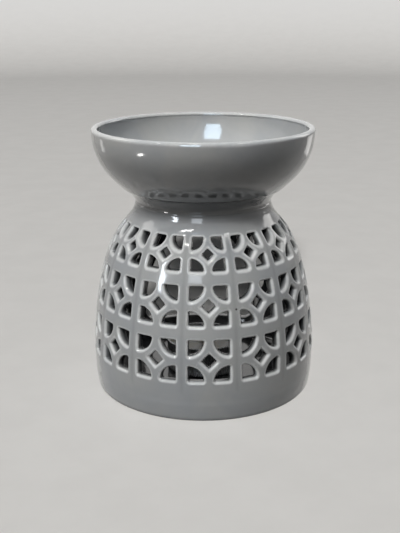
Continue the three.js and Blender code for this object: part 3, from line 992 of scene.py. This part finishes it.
def floor_paint():
    """Pale and matt underfoot, and glowing evenly where the floor sweeps up into the wall."""
    m = Nodes("pale_floor", IOR=1.4, Specular_IOR_Level=0.05)
    grain = m.noise(34, 4, 0.6)
    height = m.add("SeparateXYZ", {0: m.place}).outputs["Z"]
    wall = m.span(height, SWEEP_GLOW_FROM, SWEEP_GLOW_TO)
    colour = m.blend(m.span(grain, 0.3, 0.7), FLOOR_PALE, FLOOR_PALE_TOO)
    m.drive("Base Color", m.blend(wall, colour, SWEEP_WALL))
    m.shader.inputs["Emission Color"].default_value = FLOOR_PALE_TOO
    m.drive("Emission Strength", m.math("MULTIPLY", wall, SWEEP_GLOW / FLOOR_PALE_TOO[0]))
    m.drive("Roughness", m.span(m.noise(90, 3), 0.3, 0.7, 0.62, 0.75, False))
    return m.material


# Pieces and what they are made of

body_piece = dome()
finish_dome(body_piece)
GLAZE = glaze()
PIECES = [
    (body_piece, "burner", "burner_body", "glaze", GLAZE),
    (dish(), "burner", "melt_dish", "glaze", GLAZE),
    (slip(), "burner", "joining_slip", "glaze", GLAZE),
    (foil_cup(), "tealight", "tealight_cup", "cup_aluminium", foil()),
    (poured_wax(), "tealight", "tealight_wax", "candle_wax", wax()),
    (wick_disc(), "tealight", "wick_sustainer", "sustainer_steel", tinned_steel()),
    (braided_wick(), "tealight", "tealight_wick", "wick_cotton", cotton()),
]
for piece, body, node, slot, finish in PIECES:
    piece.data.materials.append(finish)
    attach(piece, body)
    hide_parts(node)

# The underside of the foot is wiped clean of glaze
body_piece.data.materials.append(bare_clay())
for face in body_piece.data.polygons:
    if face.center.z < FOOT_WIPED and face.normal.z < FOOT_FACES_DOWN:
        face.material_index = 1

# Floor, swept up into a pale wall all round
sweep = [*arc((SWEEP_FROM, SWEEP_RADIUS), SWEEP_RADIUS, -90, 0, SWEEP_STEPS)]
sweep += [(SWEEP_FROM + SWEEP_RADIUS, SWEEP_TOP)]
levels = [ring_points(radius, height, SWEEP_AROUND) for radius, height in sweep]
numbers = [np.arange(SWEEP_AROUND) + i * SWEEP_AROUND for i in range(len(levels))]
floor = mesh_object("floor", np.concatenate(levels), strips(numbers)[:, ::-1], [tuple(range(SWEEP_AROUND))])
floor.data.materials.append(floor_paint())
floor.visible_diffuse = False


# Lights

def softbox(name, azimuth, elevation, distance, width, height, watts, colour, aim, kind, lit):
    """An area light seen from the aim at this azimuth (from -Y towards +X) and elevation, in degrees.
    A fill light leaves no reflection in the glaze, and a gloss light leaves nothing else."""
    turn, rise = math.radians(azimuth), math.radians(elevation)
    away = Vector((math.sin(turn) * math.cos(rise), -math.cos(turn) * math.cos(rise), math.sin(rise)))
    data = bpy.data.lights.new(name, "AREA")
    data.shape = "RECTANGLE"
    data.size, data.size_y = width, height
    data.energy = watts
    data.color = colour
    made = bpy.data.objects.new(name, data)
    made.location = Vector(aim) + away * distance
    made.rotation_euler = (-away).to_track_quat("-Z", "Y").to_euler()
    made.visible_glossy = kind != "fill"
    made.visible_diffuse = kind != "gloss"
    made.visible_camera = False
    bpy.context.scene.collection.objects.link(made)
    made.light_linking.receiver_collection = LIT[lit]
    made.light_linking.blocker_collection = LIT["object"]


# Groups of pieces that a light can be limited to
everything = [piece for piece, *_ in PIECES]
LIT = {}
for name, chosen in {"object": everything, "shell": everything[:1], "dome": everything[:1] + everything[3:],
                     "dish": everything[1:3], "clay": everything[:3], "tealight": everything[3:],
                     "floor": [floor]}.items():
    LIT[name] = bpy.data.collections.new("lit_" + name)
    for piece in chosen:
        LIT[name].objects.link(piece)
for light in LIGHTS:
    softbox(*light)

# Camera
camera_data = bpy.data.cameras.new("camera")
camera_data.sensor_width = SENSOR
camera_data.lens = FOCAL_LENGTH_PX * SENSOR / FRAME_HEIGHT_PX
camera = bpy.data.objects.new("camera", camera_data)
bpy.context.scene.collection.objects.link(camera)
side = CAMERA_SIGHT.cross(CAMERA_UP).normalized()
camera.matrix_world = Matrix.Translation(CAMERA_PLACE) @ Matrix(
    (side, side.cross(CAMERA_SIGHT).normalized(), -CAMERA_SIGHT.normalized())
).transposed().to_4x4()
bpy.context.scene.camera = camera

# World: a faint sky, fainter from below
world = bpy.data.worlds.new("studio")
bpy.context.scene.world = world
world.use_nodes = True
nodes, links = world.node_tree.nodes, world.node_tree.links
background = nodes["Background"]
background.inputs["Color"].default_value = SKY
direction = nodes.new("ShaderNodeTexCoord")
height = nodes.new("ShaderNodeSeparateXYZ")
strength = nodes.new("ShaderNodeMapRange")
for socket, value in {"From Min": -HORIZON_FADE, "From Max": HORIZON_FADE,
                      "To Min": UNDER_STRENGTH, "To Max": SKY_STRENGTH}.items():
    strength.inputs[socket].default_value = value
links.new(direction.outputs["Generated"], height.inputs[0])
links.new(height.outputs["Z"], strength.inputs["Value"])
links.new(strength.outputs["Result"], background.inputs["Strength"])
bpy.context.scene.view_settings.view_transform = "Standard"
